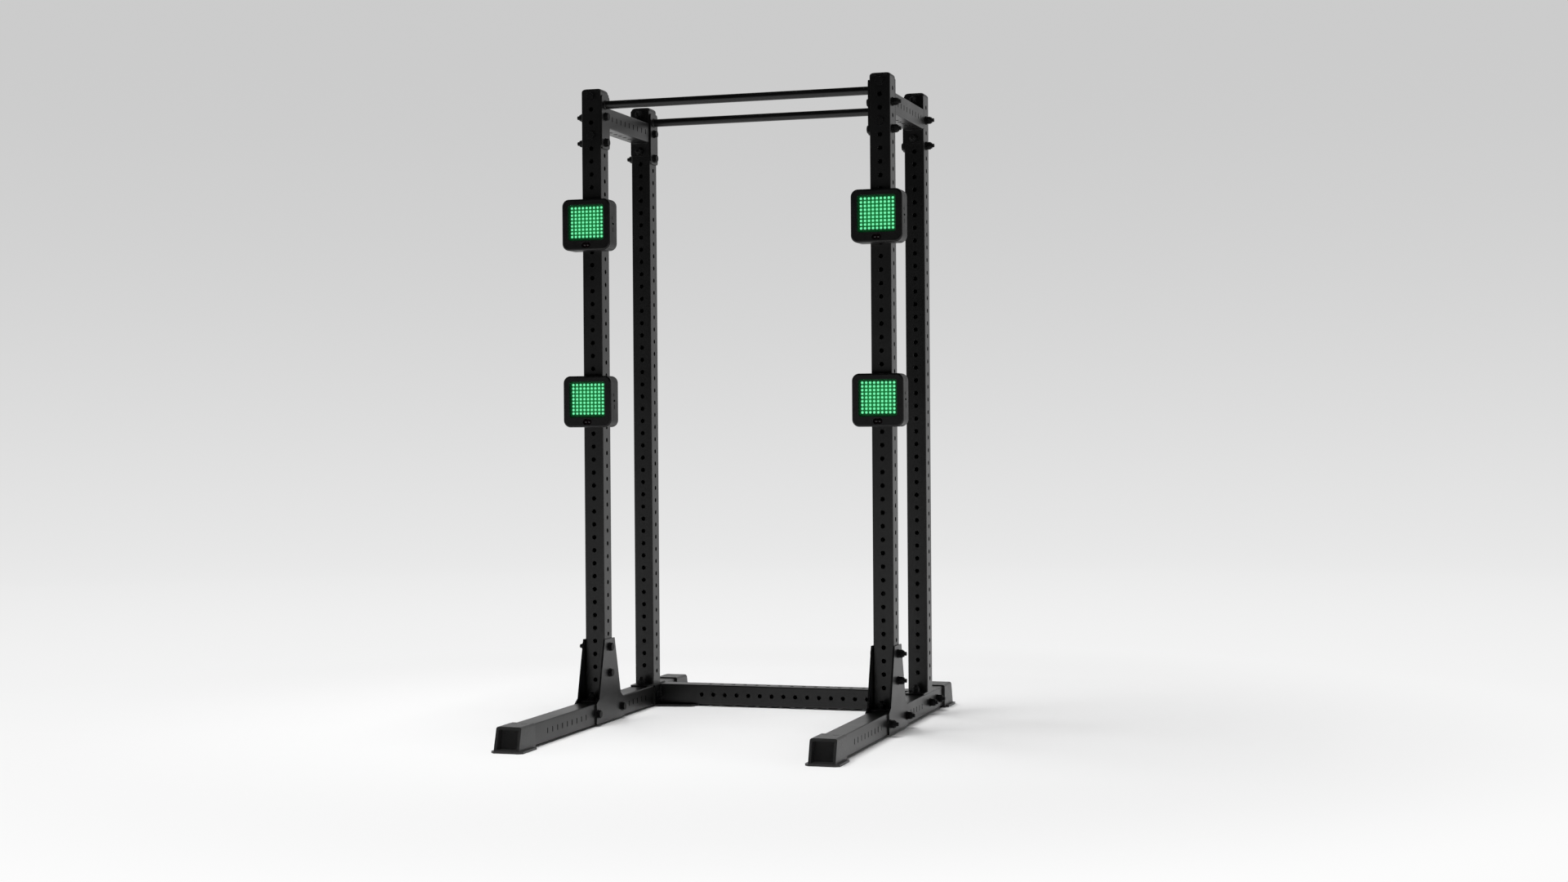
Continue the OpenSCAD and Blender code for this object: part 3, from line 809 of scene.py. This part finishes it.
def build_caps():
    upright_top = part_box("upright_front_left")[1].z
    low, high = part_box("cap_front_left")
    mesh = cap_mesh(upright_top - low.z, high.z - upright_top)
    for name in UPRIGHTS:
        centre = box_centre(f"cap_{name}")
        at = Matrix.Translation((centre.x, centre.y, upright_top))
        piece(f"cap_{name}_crowned", mesh, ROOT, "cap_plastic", [f"cap_{name}"], at)


# ---- fasteners, each built along +Z and placed on a CAD solid's own axis ----

# Bolt heads and nuts, from the axis to a flat and to a corner, with HEX_COUNT points a ring
HEX_FLAT = 13.5 * MM
HEX_CORNER = HEX_FLAT * 2 / math.sqrt(3)
HEX_COUNT = 48
HEX_HEAD_H = 10 * MM
LOW_HEAD_H = 5 * MM
LOW_HEAD_R = 14 * MM
SHANK_R = 7.9 * MM
BORE_R = SHANK_R + 0.05 * MM
THREAD_PITCH = 2 * MM
THREAD_DEPTH = 0.9 * MM
THREAD_LEN = 44 * MM
COLLAR_H = 5 * MM
WASHER_R = 17 * MM
WASHER_BORE_R = 8.9 * MM
# Each fastener is left at another angle than the one before it
SPIN_STEP = 0.61


def points_box(points):
    """The lowest and highest corners of a set of points."""
    return Vector(map(min, zip(*points))), Vector(map(max, zip(*points)))


def place_key(points):
    """Puts solids in the same order on every run."""
    low, high = points_box(points)
    return tuple(round(c, 4) for c in (low + high) / 2)


def separate_solids(node):
    """The corner points of each separate solid in a CAD node."""
    bm = bmesh.new()
    bm.from_mesh(frame["nodes"][node].data)
    bmesh.ops.remove_doubles(bm, verts=bm.verts, dist=0.001 * MM)
    unseen = set(bm.verts)
    found = []
    while unseen:
        reached, edge = set(), [unseen.pop()]
        while edge:
            vert = edge.pop()
            reached.add(vert)
            for e in vert.link_edges:
                other = e.other_vert(vert)
                if other in unseen:
                    unseen.remove(other)
                    edge.append(other)
        found.append([v.co.copy() for v in reached])
    bm.free()
    return sorted(found, key=place_key)


def axis_place(points, turned, along_longest):
    """(placement, length): +Z runs along the solid from its wide end, and turned spins it."""
    low, high = points_box(points)
    size = high - low
    pick = max if along_longest else min
    axis = pick(range(3), key=lambda i: size[i])
    centre = (low + high) / 2
    length = size[axis]

    def reach(end):
        near = [p for p in points if abs(p[axis] - end) < 0.05 * length]
        return max((p - centre)[(axis + 1) % 3] ** 2 + (p - centre)[(axis + 2) % 3] ** 2 for p in near)

    forward = reach(low[axis]) >= reach(high[axis])
    direction = Vector((0, 0, 0))
    direction[axis] = 1 if forward else -1
    start = centre.copy()
    start[axis] = low[axis] if forward else high[axis]
    spin = direction.to_track_quat("Z", "Y").to_matrix().to_4x4()
    return Matrix.Translation(start) @ spin @ Matrix.Rotation(turned, 4, "Z"), length


def hex_radius(a):
    """Distance from the axis to a unit hexagon's side at angle a."""
    sixth = math.pi / 3
    return 1 / math.cos((a + sixth / 2) % sixth - sixth / 2)


def hex_ring(z, limit):
    """A hexagonal ring whose corners a turning tool has cut back to limit."""
    turns = [2 * math.pi * i / HEX_COUNT for i in range(HEX_COUNT)]
    radii = [min(HEX_FLAT * hex_radius(a), limit) for a in turns]
    return [Vector((r * math.cos(a), r * math.sin(a), z)) for r, a in zip(radii, turns)]


def round_ring(radius, z, count=HEX_COUNT):
    return facing_z(circle(radius, count), z)


def thread_rings(start, end, count=24):
    """A helical thread from start to end, with a chamfered tip."""
    rings = []
    step = THREAD_PITCH / 4
    for i in range(int((end - start) / step) + 1):
        z = start + i * step
        ring = []
        for j in range(count):
            turn = (z / THREAD_PITCH + j / count) % 1
            ridge = abs(2 * turn - 1)
            chamfer = SHANK_R - 1.5 * MM + (end - z)
            radius = min(SHANK_R - THREAD_DEPTH * ridge, chamfer)
            a = 2 * math.pi * j / count
            ring.append(Vector((radius * math.cos(a), radius * math.sin(a), z)))
        rings.append(ring)
    return rings


def low_head_rings():
    """A low domed head with a round drive socket, its top at z 0."""
    # (inset from the rim, depth) in mm
    dome = [(0, LOW_HEAD_H / MM), (0, 2.2), (1, 1), (3.5, 0.2), (6, 0)]
    socket = [round_ring(5 * MM, 0), round_ring(4.6 * MM, 3 * MM)]
    return [round_ring(LOW_HEAD_R - inset * MM, depth * MM) for inset, depth in dome] + socket


def hex_head_rings():
    """A hexagonal head with turned corners, its top at z 0."""
    rings = [hex_ring(HEX_HEAD_H, HEX_CORNER - 0.6 * MM)]
    rings.append(hex_ring(HEX_HEAD_H - 0.5 * MM, HEX_CORNER))
    for drop in (2.4, 1.8, 1.2, 0.6, 0.0):
        rings.append(hex_ring(drop * MM, HEX_FLAT * 1.01 + drop * 1.2 * MM))
    return rings + [round_ring(HEX_FLAT * 0.8, 0)]


def add_bolt(bm, at, length, low_head):
    """A bolt: its head, a plain shank, and a thread at the end."""
    head = low_head_rings() if low_head else hex_head_rings()
    head_h = LOW_HEAD_H if low_head else HEX_HEAD_H
    threaded_from = length - THREAD_LEN
    shank = [round_ring(SHANK_R, z, 24) for z in (head_h - 1 * MM, threaded_from)]
    shank += thread_rings(threaded_from, length)
    for rings in (head, shank):
        skin(bm, [[at @ p for p in ring] for ring in rings])


def add_nut(bm, at, length):
    """A lock nut: chamfered hexagon, turned collar, nylon insert, open bore."""
    hex_h = length - COLLAR_H
    outer = [hex_ring(0, HEX_FLAT * 1.02), hex_ring(1 * MM, HEX_CORNER)]
    outer += [hex_ring(hex_h - 1.4 * MM, HEX_CORNER), hex_ring(hex_h, HEX_FLAT)]
    collar_r = HEX_FLAT - 1.25 * MM
    collar = [round_ring(collar_r, hex_h + 0.1 * MM), round_ring(collar_r, length - 1.6 * MM),
              round_ring(collar_r - 0.5 * MM, length - 0.5 * MM),
              round_ring(collar_r - 1.6 * MM, length)]
    insert = [round_ring(collar_r - 1.9 * MM, length - 0.7 * MM),
              round_ring(BORE_R, length - 1.0 * MM)]
    bore = [round_ring(BORE_R, 0)]
    rings = [[at @ p for p in ring] for ring in outer + collar + insert + bore]
    bands = skin(bm, rings, closed=True)
    insert_band = len(outer) + len(collar)
    for face in bands[insert_band - 1] + bands[insert_band]:
        face.material_index = 1


def add_washer(bm, at, length):
    """A flat washer with all its edges chamfered."""
    outer, inner, soft = WASHER_R, WASHER_BORE_R, 0.4 * MM
    profile = [(inner + soft, 0), (outer - soft, 0), (outer, soft), (outer, length - soft),
               (outer - soft, length), (inner + soft, length), (inner, length - soft),
               (inner, soft)]
    skin(bm, [[at @ p for p in round_ring(r, z, 40)] for r, z in profile], closed=True)


def build_fasteners():
    for node in ("frame_bolts", "gusset_bolts", "foot_bolts"):
        bm = bmesh.new()
        for i, points in enumerate(separate_solids(node)):
            at, length = axis_place(points, i * SPIN_STEP, along_longest=True)
            add_bolt(bm, at, length, low_head=node == "foot_bolts")
        piece(f"{node}_threaded", mesh_of(bm, node), ROOT, "black_zinc", [node])
    bm = bmesh.new()
    for i, points in enumerate(separate_solids("lock_nuts")):
        at, length = axis_place(points, i * SPIN_STEP, along_longest=False)
        add_nut(bm, at, length)
    piece("lock_nuts_turned", mesh_of(bm, "lock_nuts"), ROOT, "black_zinc", ["lock_nuts"],
          materials=[MATERIALS["black_zinc"], NYLON])
    bm = bmesh.new()
    for points in separate_solids("washers"):
        at, length = axis_place(points, 0.0, along_longest=False)
        add_washer(bm, at, length)
    piece("washers_rounded", mesh_of(bm, "washers"), ROOT, "black_zinc", ["washers"])


# ---- weld beads ----

# A bead stops BEAD_END short of a tube's corner, and its middle lies BEAD_RISE off both faces
BEAD_R = 2.6 * MM
BEAD_STEP = 1.1 * MM
BEAD_END = 5 * MM
BEAD_RISE = 0.6 * MM
# The scales along a bead: their length in steps, and how much they swell its radius
RIPPLE = 3.6
RIPPLE_SWELL = 0.13
# A direction that no bead runs along
ASKEW = Vector((0.123, 0.456, 0.881))


def bead_rings(path, closed):
    """Rings of a rippled bead along a path; an open bead tapers at both ends."""
    rings = []
    last = len(path) - 1
    for i, point in enumerate(path):
        if closed:
            ahead, behind, taper = path[(i + 1) % len(path)], path[i - 1], 1.0
        else:
            ahead, behind = path[min(i + 1, last)], path[max(i - 1, 0)]
            taper = math.sqrt(max(0.15, min(1.0, i / RIPPLE, (last - i) / RIPPLE)))
        along = (ahead - behind).normalized()
        side = along.cross(ASKEW).normalized()
        radius = BEAD_R * taper * (1 + RIPPLE_SWELL * math.cos(2 * math.pi * i / RIPPLE))
        turns = [math.pi / 4 * j for j in range(8)]
        rings.append([
            point + radius * (math.cos(a) * side + math.sin(a) * along.cross(side)) for a in turns
        ])
    return rings


def add_straight_bead(bm, start, end):
    count = max(2, int((end - start).length / BEAD_STEP))
    skin(bm, bead_rings([start.lerp(end, i / count) for i in range(count + 1)], closed=False))


def add_round_bead(bm, centre, radius):
    """A bead round a bar that lies along X."""
    count = int(2 * math.pi * radius / BEAD_STEP)
    path = [centre + Vector((0, y, z)) for y, z in circle(radius, count)]
    skin(bm, bead_rings(path, closed=True), closed=True)


def build_welds():
    bm = bmesh.new()
    half = TUBE_W / 2
    run = half - BEAD_END
    for name in UPRIGHTS:
        centre = box_centre(f"upright_{name}")
        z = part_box(f"upright_{name}")[0].z + PLATE_T + BEAD_RISE
        for s in (-1, 1):
            y = centre.y + s * (half + BEAD_RISE)
            add_straight_bead(bm, Vector((centre.x - run, y, z)), Vector((centre.x + run, y, z)))
    for side in ("left", "right"):
        centre = box_centre(f"top_crossmember_{side}")
        low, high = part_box(f"top_crossmember_{side}")
        for y in (low.y + PLATE_T + BEAD_RISE, high.y - PLATE_T - BEAD_RISE):
            for s in (-1, 1):
                z = centre.z + s * (half + BEAD_RISE)
                add_straight_bead(bm, Vector((centre.x - run, y, z)), Vector((centre.x + run, y, z)))
    low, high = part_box("rear_crossmember")
    centre_y, centre_z = (low.y + high.y) / 2, high.z - half
    for x in (low.x + PLATE_T + BEAD_RISE, high.x - PLATE_T - BEAD_RISE):
        for s in (-1, 1):
            y = centre_y + s * (half + BEAD_RISE)
            add_straight_bead(bm, Vector((x, y, centre_z - run)), Vector((x, y, centre_z + run)))
    for node in ("pullup_bar_front", "pullup_bar_rear"):
        low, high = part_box(node)
        centre = Vector((0, (low.y + high.y) / 2, high.z - BAR_DROP))
        for x in (low.x + PLATE_T + BEAD_RISE, high.x - PLATE_T - BEAD_RISE):
            add_round_bead(bm, centre + Vector((x, 0, 0)), BAR_R + BEAD_RISE)
    piece("weld_beads", mesh_of(bm, "weld_beads"), ROOT, "powder_coat")


# ---- stage, lights and camera ----

STUDIO_CENTRE = Vector((1.0, -3.0, 0.0))
FLOOR_RADIUS = 12.3
FLOOR_STEP = 0.25
CURVE_RADIUS = 8.0
WALL_HEIGHT = 14.0
STUDIO_SIDES = 96
# Half the angle of the wall, on the front's side, that only the camera sees
DARK_SIDE = math.radians(72)
# Distances from the object: lit paper up to the first, own light beyond the second
LIT_RADIUS = 1.4
GLOW_RADIUS = 3.4
# (distance along the floor and up the wall, linear grey): a painted fall of light, brightest near the
# object and darker out along the floor and up the wall
STUDIO_PAINTED_FALLOFF = [(0, 1.0), (3, 0.955), (5.7, 0.90), (12.3, 0.83), (15.1, 0.78), (17.9, 0.69),
                (20.7, 0.612), (22.5, 0.6)]


def studio_profile():
    """Floor and wall, each a list of (radius, height, distance along from the middle)."""
    radii = [i * FLOOR_STEP for i in range(1, int(FLOOR_RADIUS / FLOOR_STEP) + 1)]
    flat = [(radius, 0.0, radius) for radius in radii]
    flat.append((FLOOR_RADIUS, 0.0, FLOOR_RADIUS))
    steps = 30
    curve = []
    for i in range(1, steps + 1):
        a = math.pi / 2 * i / steps
        curve.append((FLOOR_RADIUS + CURVE_RADIUS * math.sin(a), CURVE_RADIUS * (1 - math.cos(a)),
                      FLOOR_RADIUS + CURVE_RADIUS * a))
    radius, height, along = curve[-1]
    curve.append((radius, WALL_HEIGHT, along + WALL_HEIGHT - height))
    return flat, curve


def make_studio_material():
    """Lit paper near the object, and further out the same tone held by its own light, with a painted fall
    of light that darkens it along the floor and up the wall.
    """
    material = bpy.data.materials.new("studio_paper_and_painted_falloff")
    material.use_nodes = True
    nodes, links = material.node_tree.nodes, material.node_tree.links
    nodes.clear()
    along = nodes.new("ShaderNodeAttribute")
    along.attribute_name = "along"
    scaled = nodes.new("ShaderNodeMapRange")
    scaled.inputs["From Max"].default_value = STUDIO_PAINTED_FALLOFF[-1][0]
    ramp = nodes.new("ShaderNodeValToRGB")
    ramp.color_ramp.interpolation = "B_SPLINE"
    while len(ramp.color_ramp.elements) < len(STUDIO_PAINTED_FALLOFF):
        ramp.color_ramp.elements.new(0.5)
    for element, (distance, level) in zip(ramp.color_ramp.elements, STUDIO_PAINTED_FALLOFF):
        element.position = distance / STUDIO_PAINTED_FALLOFF[-1][0]
        element.color = grey(level) + (1.0,)
    glow = nodes.new("ShaderNodeEmission")
    paper = nodes.new("ShaderNodeBsdfDiffuse")
    paper.inputs["Color"].default_value = grey(0.82) + (1.0,)
    place = nodes.new("ShaderNodeNewGeometry")
    length = nodes.new("ShaderNodeVectorMath")
    length.operation = "LENGTH"
    near = nodes.new("ShaderNodeMapRange")
    near.interpolation_type = "SMOOTHSTEP"
    near.inputs["From Min"].default_value = LIT_RADIUS
    near.inputs["From Max"].default_value = GLOW_RADIUS
    mix = nodes.new("ShaderNodeMixShader")
    out = nodes.new("ShaderNodeOutputMaterial")
    links.new(along.outputs["Fac"], scaled.inputs["Value"])
    links.new(scaled.outputs["Result"], ramp.inputs["Fac"])
    links.new(ramp.outputs["Color"], glow.inputs["Color"])
    links.new(place.outputs["Position"], length.inputs[0])
    links.new(length.outputs["Value"], near.inputs["Value"])
    links.new(near.outputs["Result"], mix.inputs["Fac"])
    links.new(paper.outputs["BSDF"], mix.inputs[1])
    links.new(glow.outputs["Emission"], mix.inputs[2])
    links.new(mix.outputs["Shader"], out.inputs["Surface"])
    return material


def studio_part(name, profile, material, keep):
    """A profile turned round the studio's centre, where keep(angle) holds.

    The hole inside the floor's first ring is closed.
    """
    bm = bmesh.new()
    along = bm.verts.layers.float.new("along")
    rings = []
    for radius, height, distance in profile:
        ring = []
        for x, y in circle(radius, STUDIO_SIDES):
            vert = bm.verts.new(STUDIO_CENTRE + Vector((x, y, height)))
            vert[along] = distance
            ring.append(vert)
        rings.append(ring)
    for a, b in zip(rings, rings[1:]):
        for i in range(STUDIO_SIDES):
            if keep(2 * math.pi * (i + 0.5) / STUDIO_SIDES):
                j = (i + 1) % STUDIO_SIDES
                bm.faces.new((a[i], b[i], b[j], a[j]))
    if profile[0][0] == FLOOR_STEP:
        bm.faces.new(rings[0])
    loose = [v for v in bm.verts if not v.link_faces]
    bmesh.ops.delete(bm, geom=loose, context="VERTS")
    mesh = mesh_of(bm, name)
    mesh.polygons.foreach_set("use_smooth", [True] * len(mesh.polygons))
    mesh.materials.append(material)
    obj = bpy.data.objects.new(name, mesh)
    bpy.context.scene.collection.objects.link(obj)
    return obj


def build_studio():
    """A pale floor that curves up into a wall. Only the camera sees the wall at the front."""
    material = make_studio_material()
    flat, curve = studio_profile()
    wall = [flat[-1], *curve]

    def on_dark_side(a):
        return abs((a + math.pi / 2 + math.pi) % (2 * math.pi) - math.pi) < DARK_SIDE

    studio_part("studio_floor", flat, material, lambda a: True)
    studio_part("studio_wall", wall, material, lambda a: not on_dark_side(a))
    front_wall = studio_part("studio_front_wall", wall, material, on_dark_side)
    front_wall.visible_glossy = False
    front_wall.visible_diffuse = False
    front_wall.visible_shadow = False


def softbox(name, at, towards, size, power):
    """A square area light that neither the camera nor a reflection sees."""
    data = bpy.data.lights.new(name, "AREA")
    data.shape = "SQUARE"
    data.size = size
    data.energy = power
    light = bpy.data.objects.new(name, data)
    light.location = at
    light.rotation_mode = "QUATERNION"
    light.rotation_quaternion = (Vector(towards) - Vector(at)).to_track_quat("-Z", "Y")
    light.visible_camera = False
    light.visible_glossy = False
    bpy.context.scene.collection.objects.link(light)


def build_lights():
    softbox("overhead_softbox", (-0.9, -0.35, 8.0), (0, -0.35, 0), 4.5, 748)
    world = bpy.data.worlds.new("studio_air")
    world.use_nodes = True
    world.node_tree.nodes["Background"].inputs["Color"].default_value = grey(0.01) + (1.0,)
    bpy.context.scene.world = world
    bpy.context.scene.view_settings.view_transform = "Standard"


CAMERA_AT = (2.6643, -7.9837, 1.14395)
CAMERA_YAW = math.radians(17.274)
CAMERA_PITCH = math.radians(-0.2856)
CAMERA_ROLL = math.radians(-0.4207)
CAMERA_LENS = 50
CAMERA_SENSOR = 36


def build_camera():
    """The camera looks towards +Y, turned to -X by the yaw."""
    data = bpy.data.cameras.new("camera")
    data.lens = CAMERA_LENS
    data.sensor_width = CAMERA_SENSOR
    data.clip_end = 100
    camera = bpy.data.objects.new("camera", data)
    turn = Matrix.Rotation(CAMERA_YAW, 4, "Z")
    tilt = Matrix.Rotation(math.pi / 2 + CAMERA_PITCH, 4, "X")
    roll = Matrix.Rotation(CAMERA_ROLL, 4, "Z")
    camera.matrix_world = Matrix.Translation(CAMERA_AT) @ turn @ tilt @ roll
    bpy.context.scene.collection.objects.link(camera)
    bpy.context.scene.camera = camera


dress_frame()
dress_pod_insides()
build_pods()
build_boots()
build_caps()
build_fasteners()
build_welds()
build_studio()
build_lights()
build_camera()
